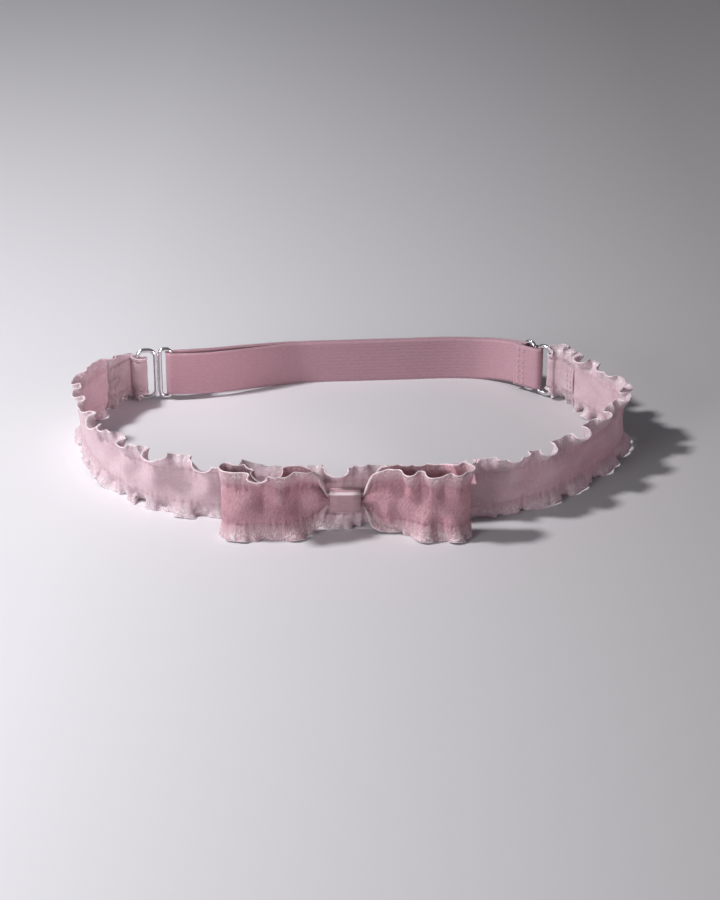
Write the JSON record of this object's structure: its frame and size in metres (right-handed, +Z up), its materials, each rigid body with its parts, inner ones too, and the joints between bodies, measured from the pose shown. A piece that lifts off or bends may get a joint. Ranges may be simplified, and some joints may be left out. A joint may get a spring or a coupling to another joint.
{
  "type": "ruffled bow belt",
  "caption": "Soft ruffled ribbon belt with a flat centre bow, closed at the back by a doubled elastic strap between two metal links, standing on edge as a loop.",
  "frame": {"origin": "middle of the bounding box on the surface that the belt stands on", "axes": "+Z up, -Y the front with the bow, +X to the wearer's left"},
  "size_m": [0.2454, 0.1747, 0.0306],
  "materials": {
    "ribbon_chiffon": "semi-sheer crinkled pale pink chiffon with satin overlocked edges",
    "bow_chiffon": "the same chiffon, doubled and so a deeper pink",
    "satin": "smooth pale pink satin",
    "elastic": "matt mauve-pink ribbed elastic",
    "silver_metal": "bright silver plating"
  },
  "bodies": {
    "root": {"band": "ribbon_chiffon", "bow": "bow_chiffon", "knot": "satin", "strap": "elastic", "link_left": "silver_metal", "link_right": "silver_metal"}
  },
  "joints": []
}
